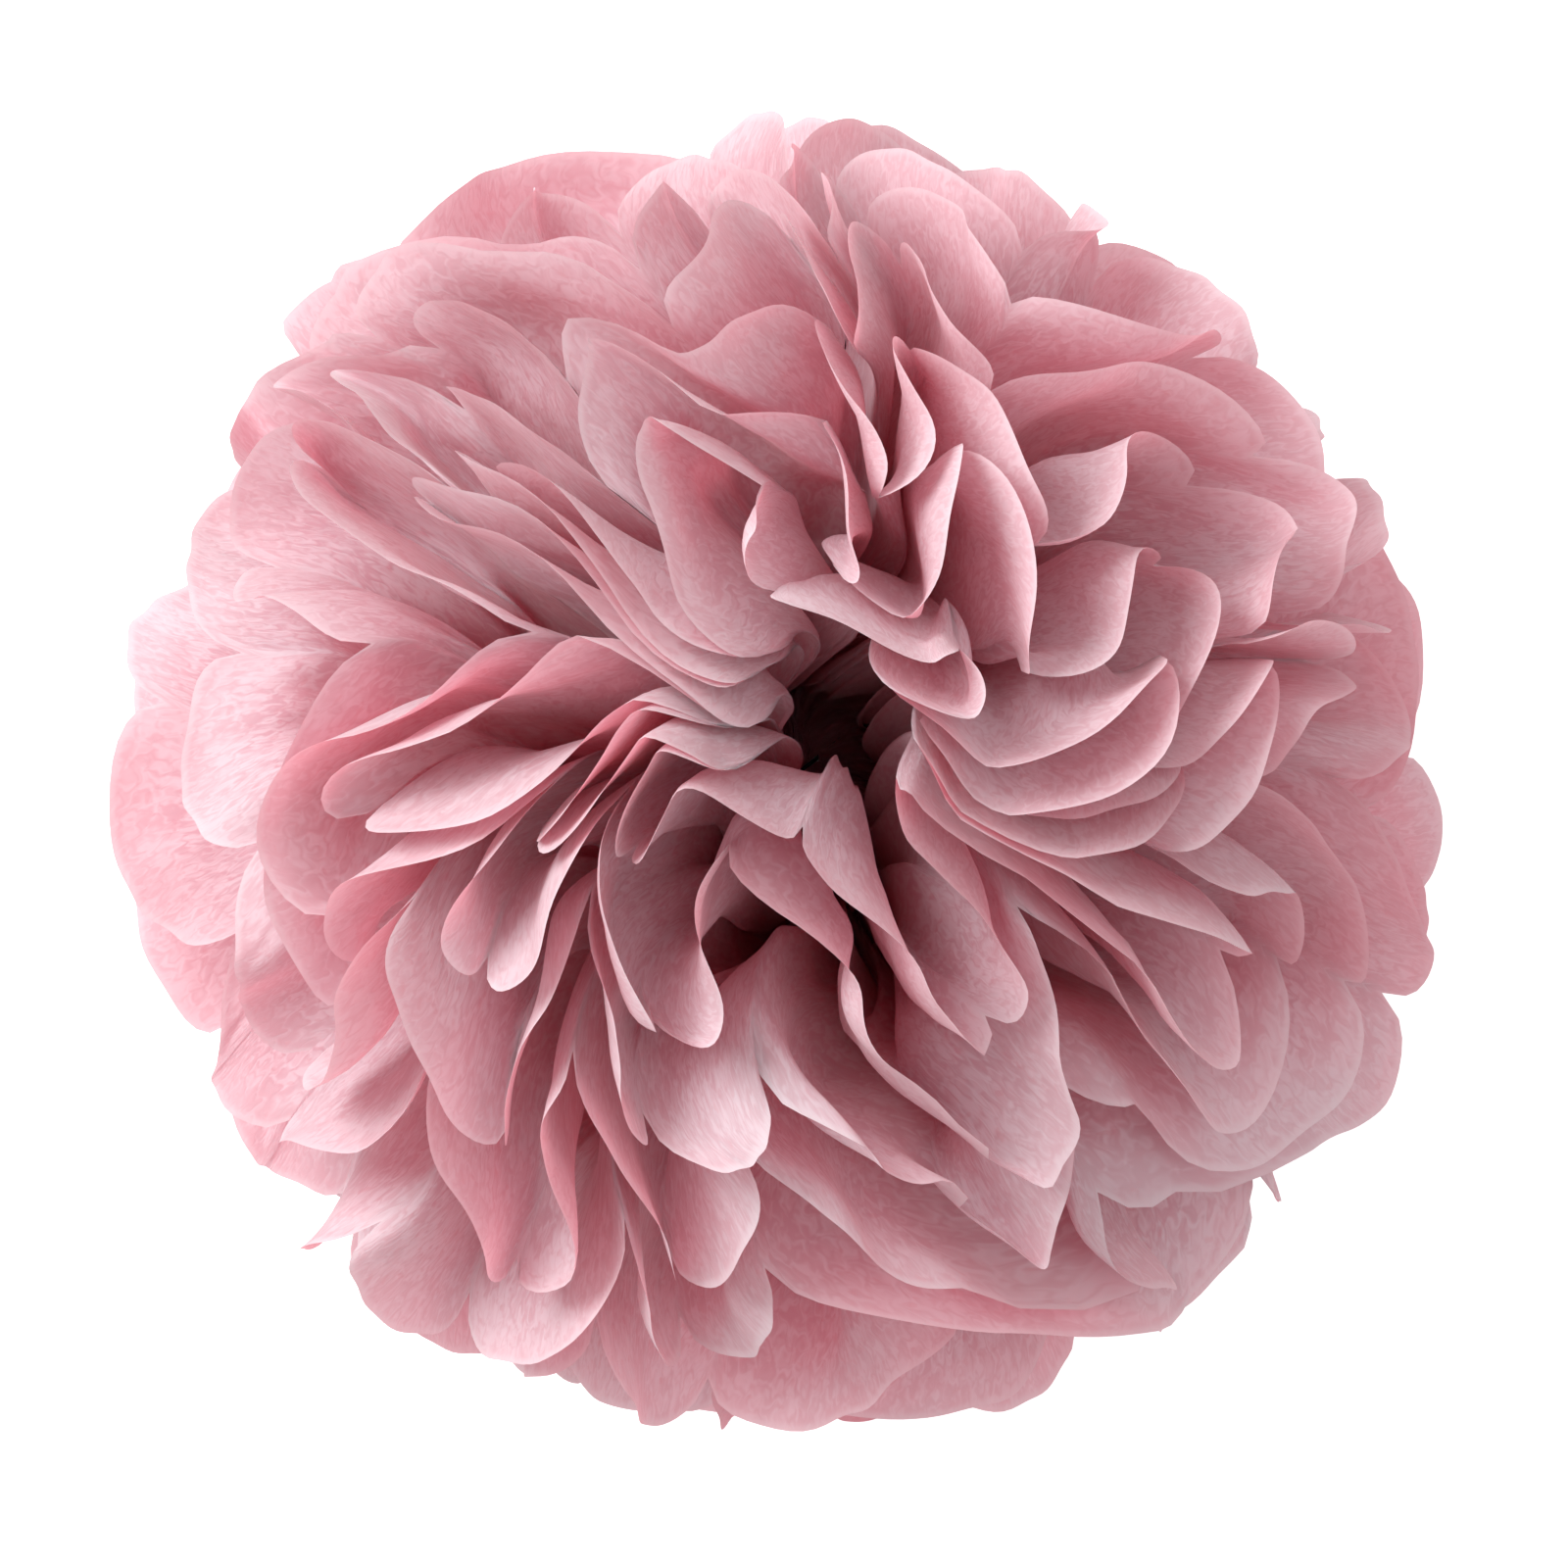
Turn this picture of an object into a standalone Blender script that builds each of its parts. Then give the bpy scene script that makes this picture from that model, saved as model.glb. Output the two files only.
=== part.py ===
"""Tissue paper pom pom, in metres, with the ball's axis along Z and the tie at the origin.

It is built as the real one is made. A stack of tissue sheets is pleated together, the ends of the
pleats are cut round, the stack is tied with wire across its middle, and each sheet is then fanned
out to both sides of the tie, half of the sheets up and half of them down. Each sheet is one solid.

A point on a sheet has two numbers: a place across the pleats (0 to PLEATS, whole at each fold) and
a reach (0 at the tie, 1 at the cut end). The formulas below turn them into a place in the ball.
"""

import math

import bpy
import numpy as np

# Driving sizes
BALL = 0.250  # across the fluffed ball
PLEAT = 0.0450  # width of one pleat
PAPER = 0.0003  # tissue sheet, thicker than real tissue so that it is a sound solid
GAP = 0.0003  # clear space between neighbours
WIRE = 0.0007  # tie wire
WAIST = 0.010  # half width of the stack where the pleats start to open
CUT = 0.015  # depth of the round cut at the end of a pleat
TAIL = 0.007  # length of the twisted wire ends
SLIDE = 0.0022  # how far the slits slide apart beside the tie
PUSHED = np.array([0.016, 0.004])  # how far the top of the ball is pushed along X and Y

# How the sheets are folded, as shares of the reach where nothing else is said
PLEATS = 11  # on each side of the tie
SHEETS = 6  # pulled up, and as many pulled down
UPPER, LOWER = 41, 130  # pick how the folds of the two halves fall
UNEVEN = 0.42  # how unevenly the pleats open
NARROWEST, WIDEST = 0.6, 1.8  # shares of an even pleat
TALLEST = 0.34  # most that a fold stands, as an angle
STEEPEST = 2.6  # most that it stands for its width
DEEPER = 0.15  # how much more the folds stand near the tie
LOOP = 0.13  # how far a soft pleat turns ahead of its lean, as a share of the pleat
OPEN_FROM, OPEN_BY = 0.03, 0.56  # where the folds open
SQUARE = 2.6  # 2 cuts the ends of the pleats to half ellipses, and more makes them squarer
BENT = 0.07  # most that a fold is bent over

# How they are pulled out to a ball
OUTER_LEAN = math.radians(80)  # from the axis to the sheet nearest the middle
INNER_LEAN = math.radians(14)  # from the axis to the sheet nearest the pole
AXIS_ROOM = 0.05  # keeps folds on their own side of the axis and of the middle, as an angle
PINCH = math.radians(50)  # how far the tie pulls the sides of the waist in
SLIT = math.radians(0.6)  # half angle left open between the two fans
TWIST = math.radians(17)  # how far the slits lean
FLOP = math.radians(7)  # ends hang over a little
DRIFT = 0.20  # how far the sheets slide round the axis against each other, as an angle
BUNCHED = 0.12  # how far they bunch up, as an angle
PULLS = 5  # small pulls that fluff the ball
BULGE, RUFFLE = 0.080, 0.050  # large and mid-size waves through the whole ball
SHUT_FROM, SHUT_BY = 0.25, 0.80  # where the middle sheets lean together
LEAN_IN = np.array([0.10, 0.25])  # how far they do, along and across the slits
ROUND = 0.7  # how much of its round form the fluffed ball keeps

# What follows from them
REACH = BALL / 2
CLOSED = 0.4 * REACH  # how far round the axis the sheets lean together
PITCH = PAPER + GAP
STACK = SHEETS * PITCH - GAP / 2  # half height of the tied stack
WAIST_EDGE = WAIST * math.cos(PINCH + SLIT)
RISE = 2 * WAIST  # how far from the tie the sheets take to stand up

# The sharpest fold that the solids have, and the tries to open a sharper one
SHARPEST = math.radians(20)
OPENING_STEPS = 16

# How finely the wire is modelled
LOOP_SIDES, BEND_STEPS = 8, 6
TAIL_SIDES, TAIL_STEPS, TAIL_TURNS = 12, 28, 3

# Rows of points on each fan: the reach of each row, and its steps across the fan
ROWS = (
    (0.028, 2),
    (0.14, PLEATS),
    (0.28, PLEATS),
    (0.52, 2 * PLEATS),
    (0.76, 2 * PLEATS),
    (1.0, 4 * PLEATS),
)


def eased(x, start, end):
    """0 before start, 1 after end and smooth between them."""
    share = np.clip((x - start) / (end - start), 0, 1)
    return share * share * (3 - 2 * share)


def chance(seed):
    """Chance numbers, the same ones at every run."""
    return np.random.default_rng(seed)


def across(place, at_folds, side, turning):
    """Values given at the folds, carried over the pleats between them.

    Each pleat has a softness: 0 makes sharp creases, and 1 makes loops, because a soft pleat
    goes round first and then up.
    """
    fold = np.clip(np.floor(place).astype(int), 0, PLEATS - 1)
    share = place - fold
    soft = chance(side + 7).uniform(0.0, 1.0, PLEATS)[fold]
    if turning:
        share = share + LOOP * soft * np.sin(2 * math.pi * share)
    else:
        share = share + soft * (eased(share, 0, 1) - share)
    return at_folds[fold] * (1 - share) + at_folds[fold + 1] * share


def fold_places(side, sheet):
    """Each fold's share of the way round the fan. All sheets were folded together, so they nearly agree."""
    widths = np.clip(np.exp(chance(side).normal(0, UNEVEN, PLEATS)), NARROWEST, WIDEST)
    steps = widths ** (1 + 0.3 * sheet / (SHEETS - 1))
    return np.concatenate([[0], np.cumsum(steps)]) / steps.sum()


def fold_leans(lean, side, sheet):
    """How far each fold stands up or down from its sheet, so that a pleat keeps its width."""
    arc = np.diff(fold_places(side, sheet)) * math.pi * math.sin(lean) * REACH
    rise = np.sqrt(np.maximum(PLEAT**2 - arc**2, (0.12 * PLEAT) ** 2)) / REACH
    rise = np.minimum(rise, np.minimum(TALLEST, STEEPEST * arc / REACH))
    rise = rise * chance(10 * sheet + side).uniform(0.8, 1, PLEATS)
    up_and_down = np.where(np.arange(PLEATS) % 2 == 0, 1, -1)
    stands = np.concatenate([[0], np.cumsum(rise * up_and_down)])
    folds = np.arange(PLEATS + 1)
    ridge = np.interp(folds, folds[::2], stands[::2])
    valley = np.interp(folds, folds[1::2], stands[1::2])
    return stands - (ridge + valley) / 2


def cut_end(place, side, sheet):
    """How far the sheet reaches from the tie. Its end is cut round, and some folds are bent over."""
    off_middle = np.abs(2 * (place % 1.0) - 1)
    notch = CUT * (1 - (1 - 0.97 * off_middle**SQUARE) ** (1 / SQUARE))
    bent = chance(100 + 10 * sheet + side).uniform(0, BENT, PLEATS + 1)
    return REACH * (1 - across(place, bent, side, False)) - notch


def with_room(angle):
    """The same angle, but never below 0. Close to 0 it gives way softly."""
    return AXIS_ROOM * np.log1p(np.exp(angle / AXIS_ROOM))


def flutter(points, seed, wave, count=9):
    """Soft waves through the whole ball. Neighbours move together."""
    pick = chance(seed)
    moved = np.zeros_like(points)
    for _ in range(count):
        run = pick.normal(size=3)
        run /= np.linalg.norm(run)
        push = np.cross(run, pick.normal(size=3))
        push /= np.linalg.norm(push)
        turns = 2 * math.pi / (wave * pick.uniform(0.8, 1.6))
        moved += push * np.sin(points @ run * turns + pick.uniform(0, 2 * math.pi))[:, None]
    return moved / math.sqrt(count)


def fanned(place, reach, sheet, fan, pull):
    """Points of one sheet before the ball is fluffed. fan and pull are 1 or -1."""
    side = (UPPER if pull > 0 else LOWER) + 2 * (fan > 0)
    lean = OUTER_LEAN + (INNER_LEAN - OUTER_LEAN) * sheet / (SHEETS - 1)
    far = reach * cut_end(place, side, sheet)
    opened = eased(far, OPEN_FROM * REACH, OPEN_BY * REACH)

    even = np.arange(PLEATS + 1) / PLEATS
    closed_share = across(place, even, side, True)
    open_share = across(place, fold_places(side, sheet), side, True)
    edge = SLIT + PINCH * np.exp(-far / (0.6 * WAIST))
    turn = edge + (math.pi - 2 * edge) * (closed_share * (1 - opened) + open_share * opened)
    deeper = 1 + DEEPER * (1 - far / REACH)
    tip = lean + across(place, fold_leans(lean, side, sheet), side, False) * opened * deeper

    # Sheets drift round the axis against each other and bunch up in places
    drift = np.sin(2 * turn + 2.5 * tip + side) + 0.5 * np.sin(3 * turn - 4 * tip + 2 * side)
    turn = turn + DRIFT * drift * opened * np.sin(turn)
    wide_bunch = np.sin(3 * turn + 3 * side) * np.sin(2 * tip)
    tip = tip + opened * BUNCHED * (wide_bunch + np.sin(5 * turn + side) * np.sin(4 * tip) / 3)
    tip = math.pi / 2 - with_room(math.pi / 2 - with_room(tip))

    # They stand up from flat at the tie, and their ends hang over
    tip = math.pi / 2 - (math.pi / 2 - tip) * far**2 / (far**2 + RISE**2)
    tip = tip + FLOP * eased(far, 0.5 * REACH, REACH) * np.sin(2 * tip)

    out = far * np.sin(tip)
    widen = np.hypot(far, WAIST) - far
    x = (out + widen) * np.cos(turn)
    y = out * np.sin(turn)
    z = far * np.cos(tip) + (sheet + 0.5) * PITCH
    return np.stack([x, fan * y, pull * z], axis=-1)


def turned(points):
    """The slits beside the tie slide apart and lean, so that nothing shows through them."""
    x, y, z = points.T
    beside_tie = eased(np.abs(x), 0.82 * WAIST, 1.15 * WAIST) * (1 - eased(np.abs(x), 2 * WAIST, 5 * WAIST))
    y = y + SLIDE * np.sign(x) * beside_tie * np.tanh(z / (2.5 * PITCH))
    lean = TWIST * np.sign(x) * eased(np.abs(x), 0.9 * WAIST, 2.5 * WAIST)
    return np.stack([x, y * np.cos(lean) - z * np.sin(lean), y * np.sin(lean) + z * np.cos(lean)], axis=-1)


def fluffed(points):
    """The whole ball as hands have pulled it about, with the tie left in place.

    It is pulled a little at a time, so that no sheet is pushed through its neighbour.
    """
    points = turned(points)
    far = np.linalg.norm(points, axis=1)
    from_axis = np.hypot(points[:, 0], points[:, 1])
    shut = eased(far, SHUT_FROM * REACH, SHUT_BY * REACH) * np.exp(-((from_axis / CLOSED) ** 2))
    points[:, :2] *= 1 - shut[:, None] * LEAN_IN
    top = eased(points[:, 2], 0.1 * REACH, 0.9 * REACH) * np.exp(-((from_axis / (0.7 * REACH)) ** 2))
    points[:, :2] += top[:, None] * PUSHED
    calm = eased(far, 0.16 * REACH, 0.96 * REACH) / PULLS
    for _ in range(PULLS):
        x, z = points[:, 0] / REACH, points[:, 2] / REACH
        moved = BULGE * flutter(points, 5, 0.68 * REACH) + RUFFLE * flutter(points, 6, 0.42 * REACH)
        seam = 0.09 * np.sin(8 * x + 0.7) * np.sin(7 * z + 0.9) + 0.06 * np.sin(4 * z + 2.5 * x)
        moved[:, 1] += seam * eased(np.abs(x), 0.06, 0.32)
        points = points + REACH * moved * calm[:, None]
    back = far / np.maximum(np.linalg.norm(points, axis=1), 1e-9)
    return points * (1 + ROUND * (back - 1))[:, None]


def strip(near, near_places, far, far_places):
    """Triangles between two rows of points, paired by their places across the pleats."""
    triangles = []
    i = j = 0
    while i < len(near) - 1 or j < len(far) - 1:
        if j == len(far) - 1:
            step_far = False
        elif i == len(near) - 1:
            step_far = True
        else:
            step_far = far_places[j] + far_places[j + 1] <= near_places[i] + near_places[i + 1]
        if step_far:
            triangles.append((near[i], far[j + 1], far[j]))
            j += 1
        else:
            triangles.append((near[i], near[i + 1], far[j]))
            i += 1
    return triangles


def named_object(name, vertices, faces, colour, roughness, metallic=0.0):
    mesh = bpy.data.meshes.new(name)
    mesh.from_pydata([tuple(v) for v in vertices], [], faces)
    mesh.update()
    part = bpy.data.objects.new(name, mesh)
    bpy.context.scene.collection.objects.link(part)
    material = bpy.data.materials.new(name)
    material.use_nodes = True
    shader = material.node_tree.nodes["Principled BSDF"]
    shader.inputs["Base Color"].default_value = (*colour, 1)
    shader.inputs["Roughness"].default_value = roughness
    shader.inputs["Metallic"].default_value = metallic
    mesh.materials.append(material)
    return part


def tissue_sheet(name, sheet, pull):
    """One sheet from cut end to cut end: a fan, the tied waist and the other fan."""
    waist_places = np.array([0.0, PLEATS])
    points, faces = [fanned(waist_places, np.zeros(2), sheet, 1, pull)], []
    count = 2
    for fan in (1, -1):
        near, near_places = (0, 1), waist_places
        for reach, steps in ROWS:
            places = np.linspace(0, PLEATS, steps + 1)
            row = range(count, count + steps + 1)
            count += steps + 1
            points.append(fanned(places, np.full(steps + 1, reach), sheet, fan, pull))
            faces += [t if fan == pull else t[::-1] for t in strip(near, near_places, row, places)]
            near, near_places = row, places
    middle = with_open_folds(fluffed(np.concatenate(points)), faces)
    vertices, faces = thick_paper(middle, faces)
    return named_object(name, vertices, faces, (0.62, 0.27, 0.29), 0.9)


def with_open_folds(points, triangles):
    """The same surface, with its sharpest folds opened until paper of this thickness can follow them."""
    wings = {}
    for a, b, c in triangles:
        for start, end, tip in ((a, b, c), (b, c, a), (c, a, b)):
            wings.setdefault((min(start, end), max(start, end)), []).append(tip)
    folds = np.array([(*edge, *tips) for edge, tips in wings.items() if len(tips) == 2])
    for _ in range(OPENING_STEPS):
        a, b, c, d = (points[folds[:, k]] for k in range(4))
        along = (b - a) / np.linalg.norm(b - a, axis=1)[:, None]
        arms = [p - a - ((p - a) * along).sum(1)[:, None] * along for p in (c, d)]
        size = [np.linalg.norm(arm, axis=1) for arm in arms]
        angle = np.arccos(np.clip((arms[0] * arms[1]).sum(1) / (size[0] * size[1]), -1, 1))
        sharp = angle < SHARPEST
        if not sharp.any():
            break
        apart = (arms[1] / size[1][:, None] - arms[0] / size[0][:, None])[sharp]
        apart /= np.linalg.norm(apart, axis=1)[:, None]
        step = (SHARPEST - angle[sharp])[:, None] * apart / 2
        points = points.copy()
        np.add.at(points, folds[sharp, 2], -step * size[0][sharp, None])
        np.add.at(points, folds[sharp, 3], step * size[1][sharp, None])
    return points


def thick_paper(points, triangles):
    """A closed solid of PAPER thickness round a surface of triangles, mitred at its folds."""
    corners = np.array(triangles)
    a, b, c = (points[corners[:, k]] for k in range(3))
    flat = np.cross(b - a, c - a)
    flat /= np.linalg.norm(flat, axis=1)[:, None]
    normal = np.zeros_like(points)
    for k in range(3):
        here, ahead, behind = (points[corners[:, (k + j) % 3]] for j in range(3))
        ahead, behind = ahead - here, behind - here
        cosine = (ahead * behind).sum(1) / np.linalg.norm(ahead, axis=1) / np.linalg.norm(behind, axis=1)
        np.add.at(normal, corners[:, k], flat * np.arccos(np.clip(cosine, -1, 1))[:, None])
    normal /= np.linalg.norm(normal, axis=1)[:, None]
    least = np.ones(len(points))
    for k in range(3):
        np.minimum.at(least, corners[:, k], (normal[corners[:, k]] * flat).sum(1))
    mitre = normal * (PAPER / 2 / np.maximum(least, 1 / 3))[:, None]

    count = len(points)
    faces = [tuple(t) for t in triangles] + [(c + count, b + count, a + count) for a, b, c in triangles]
    edges = [(t[k], t[(k + 1) % 3]) for t in triangles for k in range(3)]
    inner = set(edges)
    for start, end in edges:
        if (end, start) not in inner:
            faces.append((end, start, start + count, end + count))
    return np.concatenate([points + mitre, points - mitre]), faces


def tube(path, rings):
    """A closed skin round a path that runs on without an end. rings holds each section's points."""
    vertices = [place + point for place, ring in zip(path, rings) for point in ring]
    turns, sides = len(path), len(rings[0])
    faces = []
    for k in range(turns):
        ahead = (k + 1) % turns
        for s in range(sides):
            beside = (s + 1) % sides
            faces.append((k * sides + s, k * sides + beside, ahead * sides + beside, ahead * sides + s))
    return vertices, faces


def wire_loop(radius, half_width):
    """The wire round the stack, in the plane of the two slits."""
    half_height = STACK + GAP + radius + PAPER
    bend = 2.5 * radius
    path, rings = [], []
    up = np.array([0, 1, 0])
    around = np.arange(LOOP_SIDES) * 2 * math.pi / LOOP_SIDES
    for corner in range(4):
        middle = math.pi / 4 * (2 * corner + 1)
        centre = np.array([
            math.copysign(half_width - bend, math.cos(middle)),
            0,
            math.copysign(half_height - bend, math.sin(middle)),
        ])
        for step in range(BEND_STEPS + 1):
            angle = math.pi / 2 * (corner + step / BEND_STEPS)
            way = np.array([math.cos(angle), 0, math.sin(angle)])
            path.append(centre + bend * way)
            rings.append([radius * (math.cos(a) * way + math.sin(a) * up) for a in around])
    return tube(path, rings)


def wire_ends(radius, start):
    """The two ends, wound round each other, as one skin whose section is two wires side by side."""
    points, faces = [], []
    for k in range(TAIL_STEPS + 1):
        turn = TAIL_TURNS * 2 * math.pi * k / TAIL_STEPS
        for s in range(TAIL_SIDES):
            angle = 2 * math.pi * s / TAIL_SIDES
            width = 0.72 * radius * (abs(math.cos(angle)) + 1)
            place = start + TAIL * k / TAIL_STEPS
            points.append((place, width * math.cos(angle + turn), width * math.sin(angle + turn)))
    for k in range(TAIL_STEPS):
        for s in range(TAIL_SIDES):
            a, b = k * TAIL_SIDES + s, k * TAIL_SIDES + (s + 1) % TAIL_SIDES
            faces.append((a, b, b + TAIL_SIDES, a + TAIL_SIDES))
    faces.append(tuple(reversed(range(TAIL_SIDES))))
    faces.append(tuple(range(TAIL_STEPS * TAIL_SIDES, (TAIL_STEPS + 1) * TAIL_SIDES)))
    return points, faces


def wire_tie():
    """A wire loop round the stack with its ends twisted together, as one solid."""
    radius = WIRE / 2
    half_width = WAIST_EDGE + 3 * GAP + radius
    steel = ((0.30, 0.30, 0.31), 0.4, 1.0)
    loop = named_object("wire_tie", *wire_loop(radius, half_width), *steel)
    ends = named_object("wire_ends", *wire_ends(radius, half_width - radius / 2), *steel)
    joined = loop.modifiers.new("ends", "BOOLEAN")
    joined.operation = "UNION"
    joined.solver = "EXACT"
    joined.object = ends
    shape = bpy.context.evaluated_depsgraph_get()
    joined_mesh = bpy.data.meshes.new_from_object(loop.evaluated_get(shape))
    loop.modifiers.clear()
    loop.data = joined_mesh
    bpy.data.objects.remove(ends)
    return loop


def main():
    for old in list(bpy.data.objects):
        bpy.data.objects.remove(old)
    for half, pull in (("upper", 1), ("lower", -1)):
        for sheet in range(SHEETS):
            tissue_sheet(f"{half}_sheet_{sheet + 1}", sheet, pull)
    wire_tie()


main()
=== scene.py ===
import math

import bpy
import numpy as np
from mathutils import Matrix, Vector


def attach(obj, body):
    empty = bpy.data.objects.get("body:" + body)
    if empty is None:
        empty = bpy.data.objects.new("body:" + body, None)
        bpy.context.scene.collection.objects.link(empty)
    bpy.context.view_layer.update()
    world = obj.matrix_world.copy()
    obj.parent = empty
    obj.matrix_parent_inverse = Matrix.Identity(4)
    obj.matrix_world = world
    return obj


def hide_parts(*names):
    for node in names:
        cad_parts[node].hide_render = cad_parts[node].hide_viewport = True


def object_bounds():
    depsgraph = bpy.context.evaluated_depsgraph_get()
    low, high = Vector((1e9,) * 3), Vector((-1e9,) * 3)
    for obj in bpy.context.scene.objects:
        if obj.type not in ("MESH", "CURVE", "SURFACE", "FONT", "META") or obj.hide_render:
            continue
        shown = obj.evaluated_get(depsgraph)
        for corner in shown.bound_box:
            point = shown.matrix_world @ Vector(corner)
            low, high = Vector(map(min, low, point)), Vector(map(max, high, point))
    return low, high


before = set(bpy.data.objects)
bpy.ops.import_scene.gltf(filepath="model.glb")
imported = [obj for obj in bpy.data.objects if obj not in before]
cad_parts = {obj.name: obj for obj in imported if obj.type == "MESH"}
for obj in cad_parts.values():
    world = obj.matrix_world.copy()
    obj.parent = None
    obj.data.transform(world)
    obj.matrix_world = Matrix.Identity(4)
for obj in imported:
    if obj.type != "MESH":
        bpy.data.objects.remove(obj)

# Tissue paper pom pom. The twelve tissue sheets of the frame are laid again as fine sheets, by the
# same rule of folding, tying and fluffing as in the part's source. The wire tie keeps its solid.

cad_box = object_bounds()

# Sizes in metres. All values down to ROUND are those of the part's source, unless marked as finer.
BALL = 0.250  # across the fluffed ball
PLEAT = 0.0450  # width of one pleat
PAPER = 0.0003  # the frame's solids are this thick
GAP = 0.0003  # clear space between neighbours
WAIST = 0.010  # half width of the stack where the pleats start to open
CUT = 0.015  # depth of the round cut at the end of a pleat
SLIDE = 0.0022  # how far the slits slide apart beside the tie
PUSHED = np.array([0.016, 0.004])  # how far the top of the ball is pushed along X and Y

# How the sheets are folded, as shares of the reach where nothing else is said
PLEATS = 11  # on each side of the tie
SHEETS = 6  # pulled up, and as many pulled down
UPPER, LOWER = 41, 130  # pick how the folds of the two halves fall
UNEVEN = 0.42  # how unevenly the pleats open
NARROWEST, WIDEST = 0.6, 1.8  # shares of an even pleat
TALLEST = 0.34  # most that a fold stands, as an angle
STEEPEST = 7.0  # most that it stands for its width, finer: the solids have 2.6
DEEPER = 0.7  # how much more the folds stand near the tie, finer: the solids have 0.15
LOOP = 0.13  # how far a soft pleat turns ahead of its lean, as a share of the pleat
OPEN_FROM, OPEN_BY = 0.03, 0.40  # where the folds open, finer: the solids' folds are open by 0.56
SQUARE = 2.6  # 2 cuts the ends of the pleats to half ellipses, and more makes them squarer
BENT = 0.07  # most that a fold is bent over

# How they are pulled out to a ball
OUTER_LEAN = math.radians(80)  # from the axis to the sheet nearest the middle
INNER_LEAN = math.radians(14)  # from the axis to the sheet nearest the pole
AXIS_ROOM = 0.05  # keeps folds on their own side of the axis and of the middle, as an angle
PINCH = math.radians(50)  # how far the tie pulls the sides of the waist in
SLIT = math.radians(0.6)  # half angle left open between the two fans
TWIST = math.radians(17)  # how far the slits lean
FLOP = math.radians(7)  # ends hang over a little
DRIFT = 0.20  # how far the sheets slide round the axis against each other, as an angle
BUNCHED = 0.12  # how far they bunch up, as an angle
PULLS = 5  # small pulls that fluff the ball
BULGE, RUFFLE = 0.080, 0.050  # large and mid-size waves through the whole ball
SHUT_FROM, SHUT_BY = 0.25, 0.80  # where the middle sheets lean together
LEAN_IN = np.array([0.10, 0.25])  # how far they do, along and across the slits
ROUND = 0.7  # how much of its round form the fluffed ball keeps

# What follows from them
REACH = BALL / 2
CLOSED = 0.4 * REACH  # how far round the axis the sheets lean together
PITCH = PAPER + GAP
RISE = 2 * WAIST  # how far from the tie the sheets take to stand up

# Of the fine sheets only
COLUMNS = 26 * PLEATS  # steps across a fan
ROWS = 66  # steps from the tie to the cut end
GATHERS = 24  # small gathers of each fan, close to the tie
GATHER = 0.0052  # how high they stand
CRUMPLED = 0.022  # dents of each sheet alone, as an angle
FRETTED = 0.013  # small waves through the whole ball
CREASED = 0.0034  # creases through the whole ball
NARROWED = 0.6  # how far the slits close beside the tie
RAGGED = 0.0003  # unevenness of the cut ends
RIPPLES, DENTS = 8, 10  # waves that make up the ragged ends and the dents
FADE = 0.3  # angle from the axis or the middle within which dents and gathers fade
CROWDED = 1.25  # how much closer the steps lie near the tie
FLAT_WIDTH = PLEATS * PLEAT  # of the sheet before it was folded
FLAT_LENGTH = BALL


def eased(x, start, end):
    """0 before start, 1 after end and smooth between them."""
    share = np.clip((x - start) / (end - start), 0, 1)
    return share * share * (3 - 2 * share)


def chance(seed):
    """Chance numbers, the same ones at every run."""
    return np.random.default_rng(seed)


def fan_side(fan, pull):
    """The seed of a fan's folds. It is the same for all sheets of one fan."""
    return (UPPER if pull > 0 else LOWER) + 2 * (fan > 0)


def across(place, at_folds, side, turning):
    """Values given at the folds, carried over the pleats between them.

    Each pleat has a softness: 0 makes sharp creases, and 1 makes loops, because a soft pleat
    goes round first and then up.
    """
    fold = np.clip(np.floor(place).astype(int), 0, PLEATS - 1)
    share = place - fold
    soft = chance(side + 7).uniform(0.0, 1.0, PLEATS)[fold]
    if turning:
        share = share + LOOP * soft * np.sin(2 * math.pi * share)
    else:
        share = share + soft * (eased(share, 0, 1) - share)
    return at_folds[fold] * (1 - share) + at_folds[fold + 1] * share


def fold_places(side, sheet):
    """Each fold's share of the way round the fan. All sheets were folded together, so they nearly agree."""
    widths = np.clip(np.exp(chance(side).normal(0, UNEVEN, PLEATS)), NARROWEST, WIDEST)
    steps = widths ** (1 + 0.3 * sheet / (SHEETS - 1))
    return np.concatenate([[0], np.cumsum(steps)]) / steps.sum()


def fold_leans(lean, side, sheet):
    """How far each fold stands up or down from its sheet, so that a pleat keeps its width."""
    arc = np.diff(fold_places(side, sheet)) * math.pi * math.sin(lean) * REACH
    rise = np.sqrt(np.maximum(PLEAT**2 - arc**2, (0.12 * PLEAT) ** 2)) / REACH
    rise = np.minimum(rise, np.minimum(TALLEST, STEEPEST * arc / REACH))
    rise = rise * chance(10 * sheet + side).uniform(0.8, 1, PLEATS)
    up_and_down = np.where(np.arange(PLEATS) % 2 == 0, 1, -1)
    stands = np.concatenate([[0], np.cumsum(rise * up_and_down)])
    folds = np.arange(PLEATS + 1)
    ridge = np.interp(folds, folds[::2], stands[::2])
    valley = np.interp(folds, folds[1::2], stands[1::2])
    return stands - (ridge + valley) / 2


def round_cut(place):
    """How much is cut off the end of the sheet."""
    off_middle = np.abs(2 * (place % 1.0) - 1)
    return CUT * (1 - (1 - 0.97 * off_middle**SQUARE) ** (1 / SQUARE))


def cut_end(place, side, sheet):
    """How far the sheet reaches from the tie. Its end is cut round, and some folds are bent over."""
    bent = chance(100 + 10 * sheet + side).uniform(0, BENT, PLEATS + 1)
    return REACH * (1 - across(place, bent, side, False)) - round_cut(place)


def with_room(angle):
    """The same angle, but never below 0. Close to 0 it gives way softly."""
    return AXIS_ROOM * np.log1p(np.exp(angle / AXIS_ROOM))


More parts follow.
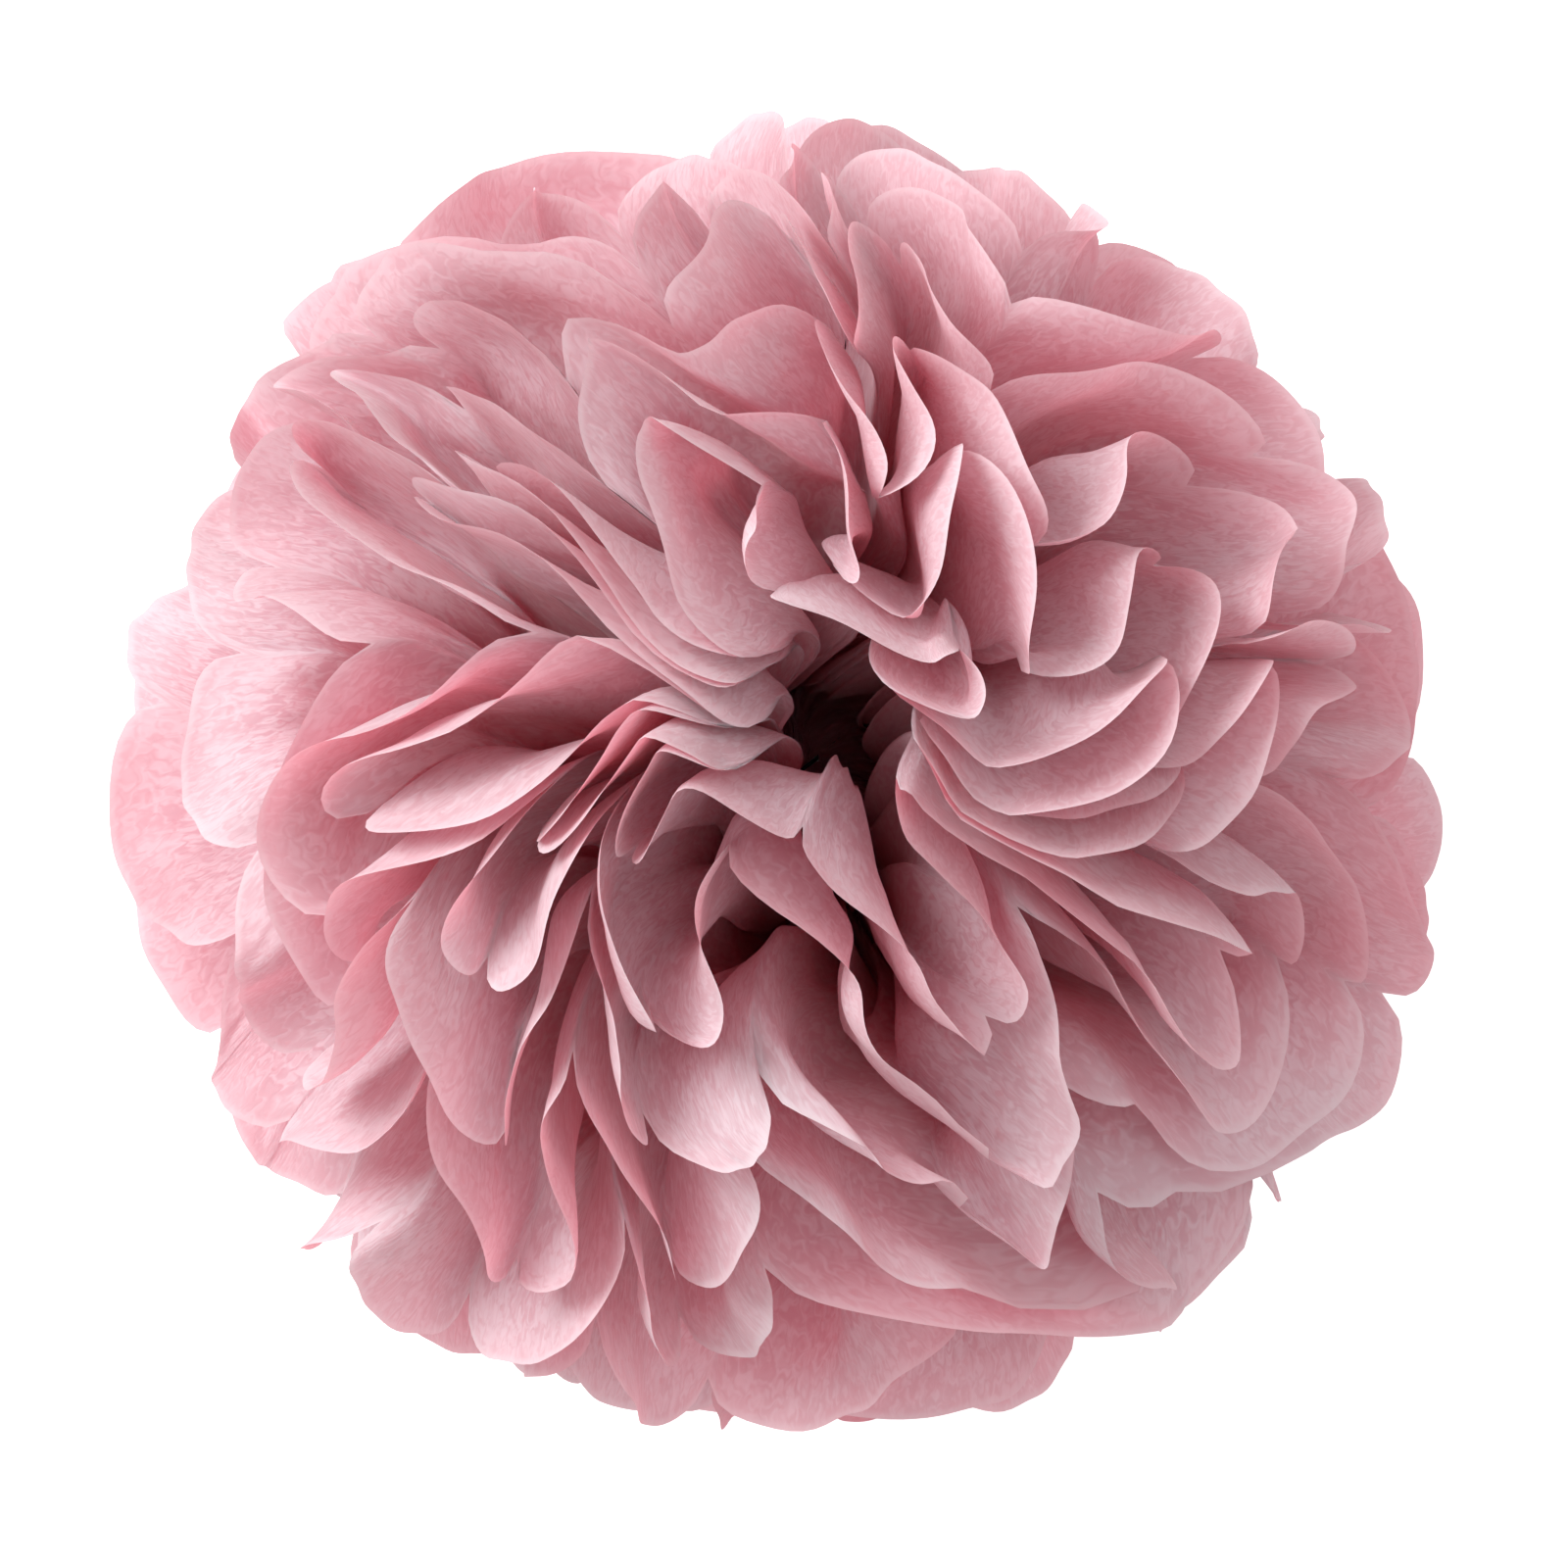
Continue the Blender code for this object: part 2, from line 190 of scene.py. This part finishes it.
def crumple(place, reach, side, sheet):
    """Soft dents of one sheet alone, from -1 to 1 or so."""
    pick = chance(500 + 10 * sheet + side)
    dents = np.zeros_like(place)
    for _ in range(DENTS):
        round_it, along = pick.normal(0, 2.2), pick.normal(0, 16)
        dents += np.sin(round_it * place + along * reach + pick.uniform(0, 2 * math.pi))
    return dents / math.sqrt(DENTS)


def ragged(place, side, sheet):
    """Small unevenness of a cut end, from -1 to 1 or so."""
    pick = chance(900 + 10 * sheet + side)
    uneven = np.zeros_like(place)
    for _ in range(RIPPLES):
        uneven += np.sin(pick.uniform(8, 26) * place + pick.uniform(0, 2 * math.pi))
    return uneven / math.sqrt(RIPPLES)


def flutter(points, seed, wave, count=9, crisp=False):
    """Waves through the whole ball, soft or with crisp creases. Neighbours move together."""
    pick = chance(seed)
    moved = np.zeros_like(points)
    for _ in range(count):
        run = pick.normal(size=3)
        run /= np.linalg.norm(run)
        push = np.cross(run, pick.normal(size=3))
        push /= np.linalg.norm(push)
        turns = 2 * math.pi / (wave * pick.uniform(0.8, 1.6))
        swing = np.sin(points @ run * turns + pick.uniform(0, 2 * math.pi))
        if crisp:
            swing = np.arcsin(0.97 * swing) * 2 / math.pi
        moved += push * swing[:, None]
    return moved / math.sqrt(count)


def fanned(place, reach, sheet, fan, pull):
    """Points of one sheet before the ball is fluffed. fan and pull are 1 or -1."""
    side = fan_side(fan, pull)
    lean = OUTER_LEAN + (INNER_LEAN - OUTER_LEAN) * sheet / (SHEETS - 1)
    far = reach * (cut_end(place, side, sheet) + RAGGED * ragged(place, side, sheet))
    opened = eased(far, OPEN_FROM * REACH, OPEN_BY * REACH)

    even = np.arange(PLEATS + 1) / PLEATS
    closed_share = across(place, even, side, True)
    open_share = across(place, fold_places(side, sheet), side, True)
    edge = SLIT + PINCH * np.exp(-far / (0.6 * WAIST))
    turn = edge + (math.pi - 2 * edge) * (closed_share * (1 - opened) + open_share * opened)
    deeper = 1 + DEEPER * (1 - far / REACH)
    tip = lean + across(place, fold_leans(lean, side, sheet), side, False) * opened * deeper

    # Sheets drift round the axis against each other and bunch up in places
    drift = np.sin(2 * turn + 2.5 * tip + side) + 0.5 * np.sin(3 * turn - 4 * tip + 2 * side)
    turn = turn + DRIFT * drift * opened * np.sin(turn)
    wide_bunch = np.sin(3 * turn + 3 * side) * np.sin(2 * tip)
    tip = tip + opened * BUNCHED * (wide_bunch + np.sin(5 * turn + side) * np.sin(4 * tip) / 3)
    tip = math.pi / 2 - with_room(math.pi / 2 - with_room(tip))

    # Only the fine sheets have dents of their own, and gathers close to the tie
    off_axis = np.minimum(tip / FADE, 1)
    off_middle = np.minimum((math.pi / 2 - tip) / FADE, 1)
    dents = CRUMPLED * crumple(place, reach, side, sheet) * eased(far, 0.35 * REACH, 0.8 * REACH)
    gathered = eased(far, 0.04 * REACH, 0.20 * REACH) * (1 - eased(far, 0.34 * REACH, 0.92 * REACH))
    wavy = np.sin(2 * GATHERS * turn + 1.5 * np.sin(7 * turn))
    gathers = GATHER / np.maximum(far, WAIST) * gathered * wavy
    halves_apart = 0.05 * (1 - eased(far, 0.2 * REACH, 0.45 * REACH))
    tip = tip + off_axis * (off_middle * dents + pull * gathers - halves_apart)

    # They stand up from flat at the tie, and their ends hang over
    tip = math.pi / 2 - (math.pi / 2 - tip) * far**2 / (far**2 + RISE**2)
    tip = tip + FLOP * eased(far, 0.5 * REACH, REACH) * np.sin(2 * tip)

    out = far * np.sin(tip)
    widen = np.hypot(far, WAIST) - far
    x = (out + widen) * np.cos(turn)
    y = out * np.sin(turn)
    z = far * np.cos(tip) + (sheet + 0.5) * PITCH
    return np.stack([x, fan * y, pull * z], axis=-1)


def turned(points):
    """The slits beside the tie slide apart and lean, so that nothing shows through them.

    Above and below the wire's twisted ends the fine sheets also close in and slide sooner.
    """
    x, y, z = points.T
    aside, height = np.abs(x), np.abs(z)
    clear_of_ends = eased(height, PITCH, 3 * PITCH) * (1 - eased(height, 0.5 * WAIST, 0.9 * WAIST))
    narrow = NARROWED * eased(aside, 0.5 * WAIST, 0.7 * WAIST) * (1 - eased(aside, WAIST, 2 * WAIST))
    y = y * (1 - narrow * clear_of_ends * np.exp(-((y / (0.15 * WAIST)) ** 2)))
    starts = eased(aside, 0.82 * WAIST, 1.15 * WAIST) * (1 - clear_of_ends)
    starts += eased(aside, 0.80 * WAIST, 0.87 * WAIST) * clear_of_ends
    beside_tie = starts * (1 - eased(aside, 2 * WAIST, 5 * WAIST))
    y = y + SLIDE * np.sign(x) * beside_tie * np.tanh(z / (2.5 * PITCH))
    lean = TWIST * np.sign(x) * eased(aside, 0.9 * WAIST, 2.5 * WAIST)
    level = y * np.cos(lean) - z * np.sin(lean)
    upright = y * np.sin(lean) + z * np.cos(lean)
    return np.stack([x, level, upright], axis=-1)


def fluffed(points):
    """The whole ball as hands have pulled it about, with the tie left in place.

    It is pulled a little at a time, so that no sheet is pushed through its neighbour.
    """
    points = turned(points)
    far = np.linalg.norm(points, axis=1)
    from_axis = np.hypot(points[:, 0], points[:, 1])
    shut = eased(far, SHUT_FROM * REACH, SHUT_BY * REACH) * np.exp(-((from_axis / CLOSED) ** 2))
    points[:, :2] *= 1 - shut[:, None] * LEAN_IN
    top = eased(points[:, 2], 0.1 * REACH, 0.9 * REACH) * np.exp(-((from_axis / (0.7 * REACH)) ** 2))
    points[:, :2] += top[:, None] * PUSHED
    calm = eased(far, 0.16 * REACH, 0.96 * REACH) / PULLS
    for _ in range(PULLS):
        x, z = points[:, 0] / REACH, points[:, 2] / REACH
        moved = BULGE * flutter(points, 5, 0.68 * REACH) + RUFFLE * flutter(points, 6, 0.42 * REACH)
        moved += FRETTED * flutter(points, 8, 0.17 * REACH, 14, crisp=True)
        moved += CREASED * flutter(points, 11, 0.085 * REACH, 14, crisp=True)
        seam = 0.09 * np.sin(8 * x + 0.7) * np.sin(7 * z + 0.9) + 0.06 * np.sin(4 * z + 2.5 * x)
        moved[:, 1] += seam * eased(np.abs(x), 0.06, 0.32)
        points = points + REACH * moved * calm[:, None]
    back = far / np.maximum(np.linalg.norm(points, axis=1), 1e-9)
    return points * (1 + ROUND * (back - 1))[:, None]


def cut_area():
    """Flat area of a sheet with both ends cut round. What is only bent over counts as paper."""
    places = np.linspace(0, PLEATS, COLUMNS + 1)
    return FLAT_WIDTH * (FLAT_LENGTH - 2 * round_cut(places).mean())


def tissue_sheet(name, sheet, pull, finish):
    """One tissue sheet from cut end to cut end, with a flat map of itself for its finish."""
    places = np.linspace(0, PLEATS, COLUMNS + 1)
    reaches = np.linspace(0, 1, ROWS + 1) ** CROWDED
    points, flats, faces = [], [], []
    grid = np.arange((ROWS + 1) * (COLUMNS + 1)).reshape(ROWS + 1, COLUMNS + 1)
    for fan in (1, -1):
        place, reach = (g.ravel() for g in np.meshgrid(places, reaches))
        points.append(fanned(place, reach, sheet, fan, pull))
        flats.append(np.stack([place * PLEAT, fan * reach * REACH], axis=-1))
        here = grid + (0 if fan == 1 else grid.size)
        here[0] = grid[0]
        corners = [here[:-1, :-1], here[:-1, 1:], here[1:, 1:], here[1:, :-1]]
        quads = np.stack(corners, axis=-1).reshape(-1, 4)
        faces.append(quads if fan == pull else quads[:, ::-1])
    flats = np.concatenate(flats)
    faces = np.concatenate(faces)

    mesh = bpy.data.meshes.new(name)
    mesh.from_pydata(fluffed(np.concatenate(points)).tolist(), [], faces.tolist())
    flat_map = mesh.uv_layers.new(name="flat")
    flat_map.data.foreach_set("uv", flats[faces.ravel()].ravel())
    rim = mesh.attributes.new("rim", "FLOAT", "POINT")
    reach = np.tile(np.repeat(reaches, COLUMNS + 1), 2)
    rim.data.foreach_set("value", reach.astype(np.float32))
    mesh.materials.append(finish)
    piece = bpy.data.objects.new(name, mesh)
    bpy.context.scene.collection.objects.link(piece)
    bpy.ops.object.select_all(action="DESELECT")
    piece.select_set(True)
    bpy.context.view_layer.objects.active = piece
    bpy.ops.object.mode_set(mode="EDIT")
    bpy.ops.mesh.select_all(action="SELECT")
    bpy.ops.mesh.delete_loose()
    bpy.ops.object.mode_set(mode="OBJECT")
    bpy.ops.object.shade_smooth()
    piece.select_set(False)
    return piece


class Amount:
    """A number that changes over a surface. Arithmetic on it adds the Math nodes."""

    def __init__(self, finish, socket):
        self.finish, self.socket = finish, socket

    def with_maths(self, operation, *values):
        """The result of a Math node on these values."""
        return self.finish.node("ShaderNodeMath", {"operation": operation}, dict(enumerate(values)))

    def __add__(self, other):
        return self.with_maths("ADD", self, other)

    def __sub__(self, other):
        return self.with_maths("SUBTRACT", self, other)

    def __mul__(self, other):
        return self.with_maths("MULTIPLY", self, other)

    def __rsub__(self, other):
        return self.with_maths("SUBTRACT", other, self)

    __radd__ = __add__
    __rmul__ = __mul__

    def between(self, low, high):
        """0 below low, 1 above high and smooth between them."""
        return self.finish.node(
            "ShaderNodeMapRange", {"interpolation_type": "SMOOTHSTEP"}, {0: self, 1: low, 2: high}
        )


class Finish:
    """One material, or the world's light, built node by node."""

    def __init__(self, owner):
        self.owner = owner
        owner.use_nodes = True
        self.tree = owner.node_tree
        self.tree.nodes.clear()

    def node(self, kind, settings=None, values=None, output=0):
        """Adds a node, sets its own settings first, and then its sockets or their links."""
        added = self.tree.nodes.new(kind)
        for name, setting in (settings or {}).items():
            setattr(added, name, setting)
        for socket, value in (values or {}).items():
            if isinstance(value, Amount):
                self.tree.links.new(value.socket, added.inputs[socket])
            else:
                added.inputs[socket].default_value = value
        return Amount(self, added.outputs[output] if added.outputs else None)

    def mixed(self, share, first, second):
        """A colour between two others."""
        return self.node("ShaderNodeMix", {"data_type": "RGBA"}, {0: share, 6: first, 7: second}, output=2)

    def done(self, surface):
        self.node("ShaderNodeOutputMaterial", None, {0: surface})


def tissue_finish():
    """Thin tissue: mottled fibres, creases, cut ends paled by a painted highlight, painted shade near the
    tie, and light that comes through from behind.
    """
    tissue = Finish(bpy.data.materials.new("tissue_paper"))
    flat = tissue.node("ShaderNodeUVMap", {"uv_map": "flat"})
    rim = tissue.node("ShaderNodeAttribute", {"attribute_name": "rim"}, output=2)

    def noise(scale, detail, roughness, kind="FBM", stretch=(1.0, 1.0, 1.0), distortion=0.0):
        """Noise over the flat sheet, in waves of 1 / scale metres."""
        place = tissue.node("ShaderNodeMapping", None, {"Vector": flat, "Scale": stretch})
        return tissue.node("ShaderNodeTexNoise", {"noise_dimensions": "2D", "noise_type": kind},
                           {"Vector": place, "Scale": scale, "Detail": detail, "Roughness": roughness,
                            "Distortion": distortion})

    clouds = noise(70, 3, 0.6)
    fibres = noise(900, 1, 0.7, stretch=(1.0, 0.4, 1.0), distortion=0.8)
    specks = noise(420, 1, 0.5)
    crumples = noise(75, 3, 0.55, kind="RIDGED_MULTIFRACTAL", stretch=(1.0, 0.6, 1.0), distortion=0.5)
    pleated = noise(110, 2, 0.5, stretch=(1.0, 0.10, 1.0))

    # Painted highlight: the ends of the sheets are paled towards white, with a thin bright line along the
    # cut edge.
    painted_edge_highlight = rim.between(0.86, 1.0) * 0.35 + rim.between(0.985, 0.997) * 0.45
    mottle = (clouds - 0.5) * 1.3 + (fibres - 0.5) * 2.0 + 0.5
    base = tissue.mixed(mottle.between(0.0, 1.0), (0.60, 0.42, 0.48, 1), (0.73, 0.65, 0.71, 1))
    base = tissue.mixed(specks.between(0.70, 0.76) * 0.35, base, (0.60, 0.30, 0.35, 1))
    base = tissue.mixed(painted_edge_highlight, base, (0.77, 0.76, 0.80, 1))
    # Painted shade: towards the tie, where the sheets lie deep inside the ball, the colour turns a deeper,
    # darker red.
    base = tissue.mixed((1.0 - rim.between(0.25, 0.90)) * 0.75, base, (0.62, 0.17, 0.23, 1))
    height = fibres * 0.04 + crumples * 0.26 + pleated * 0.22
    bump = tissue.node("ShaderNodeBump", None, {"Strength": 0.8, "Distance": 0.0024, "Height": height})
    face = tissue.node("ShaderNodeBsdfPrincipled", None,
                       {"Base Color": base, "Roughness": 0.7, "Specular IOR Level": 0.3,
                        "Sheen Weight": 0.25, "Sheen Tint": (1.0, 0.95, 0.97, 1), "Normal": bump})
    through = tissue.node("ShaderNodeBsdfTranslucent", None,
                          {"Color": (0.88, 0.22, 0.28, 1), "Normal": bump})
    share = 0.42 - rim.between(0.45, 1.0) * 0.08
    thin = tissue.node("ShaderNodeMixShader", None, {0: share, 1: face, 2: through})
    tissue.done(thin)
    return tissue.owner


def wire_finish():
    """Annealed tie wire, dark and a little worn."""
    wire = Finish(bpy.data.materials.new("tie_wire"))
    place = wire.node("ShaderNodeTexCoord", output=3)
    grain = wire.node("ShaderNodeTexNoise", None, {"Vector": place, "Scale": 900, "Detail": 3})
    colour = wire.mixed(grain.between(0.35, 0.65), (0.05, 0.05, 0.055, 1), (0.12, 0.12, 0.125, 1))
    skin = wire.node("ShaderNodeBsdfPrincipled", None,
                     {"Base Color": colour, "Metallic": 1.0,
                      "Roughness": grain.between(0.2, 0.9) * 0.25 + 0.3})
    wire.done(skin)
    return wire.owner


def seen_or_mirrored(finish):
    """1 where a ray comes from the camera, a mirror or glass, so that they all show the same white."""
    path = finish.tree.nodes.new("ShaderNodeLightPath")
    names = ("Is Camera Ray", "Is Glossy Ray", "Is Transmission Ray")
    rays = [Amount(finish, path.outputs[name]) for name in names]
    total = rays[0] + rays[1] + rays[2]
    return total.with_maths("MINIMUM", total, 1.0)


def studio_floor(height):
    """A plain white floor just under the ball. It keeps the ball's soft shadow."""
    bpy.ops.object.select_all(action="DESELECT")
    bpy.ops.mesh.primitive_plane_add(size=8, location=(0, 0, height))
    floor = bpy.context.active_object
    floor.name = "studio_floor"
    bpy.ops.object.transform_apply(location=True, rotation=False, scale=False)
    white = Finish(bpy.data.materials.new("floor_white"))
    matt = white.node("ShaderNodeBsdfDiffuse", None, {"Color": (0.80, 0.80, 0.80, 1)})
    glow = white.node("ShaderNodeEmission", None, {"Color": (1, 1, 1, 1), "Strength": 0.60})
    none = white.node("ShaderNodeEmission", None, {"Color": (1, 1, 1, 1), "Strength": 0.0})
    lit = white.node("ShaderNodeMixShader", None, {0: seen_or_mirrored(white), 1: none, 2: glow})
    white.done(white.node("ShaderNodeAddShader", None, {0: matt, 1: lit}))
    floor.data.materials.append(white.owner)


def studio_world():
    """Even light from all round, and white where it is seen."""
    world = bpy.data.worlds.new("studio")
    bpy.context.scene.world = world
    sky = Finish(world)
    soft = sky.node("ShaderNodeBackground", None, {"Color": (1.0, 0.98, 0.97, 1), "Strength": 0.76})
    white = sky.node("ShaderNodeBackground", None, {"Color": (1, 1, 1, 1), "Strength": 1.0})
    shown = sky.node("ShaderNodeMixShader", None, {0: seen_or_mirrored(sky), 1: soft, 2: white})
    sky.node("ShaderNodeOutputWorld", None, {0: shown})


ROLL = math.radians(-38)  # the slits run from lower left to upper right in the picture


def in_picture(right, up, towards):
    """A place given as the picture shows it: to the right, up, and towards the viewer."""
    return Matrix.Rotation(ROLL, 3, "Z") @ Vector((right, up, towards))


def studio_lamp(name, right, up, towards, power, size, colour):
    bpy.ops.object.select_all(action="DESELECT")
    bpy.ops.object.light_add(type="AREA", location=in_picture(right, up, towards))
    lamp = bpy.context.active_object
    lamp.name = name
    lamp.data.energy, lamp.data.size, lamp.data.color = power, size, colour
    lamp.rotation_euler = (-lamp.location).to_track_quat("-Z", "Y").to_euler()


def studio_camera(distance, share):
    """Straight down on the ball's axis. share is the ball's share of the picture's width."""
    bpy.ops.object.select_all(action="DESELECT")
    bpy.ops.object.camera_add(location=(0, 0, distance), rotation=(0, 0, ROLL))
    camera = bpy.context.active_object
    camera.name = "photo_camera"
    near_rim = REACH / math.sqrt(distance**2 - REACH**2)
    camera.data.lens = camera.data.sensor_width / 2 * share / near_rim
    camera.data.clip_start, camera.data.clip_end = 0.05, 20
    bpy.context.scene.camera = camera


def main():
    bpy.context.scene.view_settings.view_transform = "Standard"
    tissue = tissue_finish()
    for pull, half in ((1, "upper"), (-1, "lower")):
        for sheet in range(SHEETS):
            node = f"{half}_sheet_{sheet + 1}"
            piece = tissue_sheet(f"{half}_tissue_{sheet + 1}", sheet, pull, tissue)
            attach(piece, "root")
            cut_area()
            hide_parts(node)
    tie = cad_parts["wire_tie"]
    tie.data.materials[0] = wire_finish()

    studio_floor(cad_box[0][2] - 0.004)
    studio_world()
    studio_lamp("key", -0.62, 0.42, 0.60, 10, 0.6, (1.0, 0.99, 0.98))
    studio_lamp("fill", 0.70, -0.30, 0.80, 1.5, 0.8, (0.97, 0.98, 1.0))
    studio_camera(0.90, 0.869)


main()
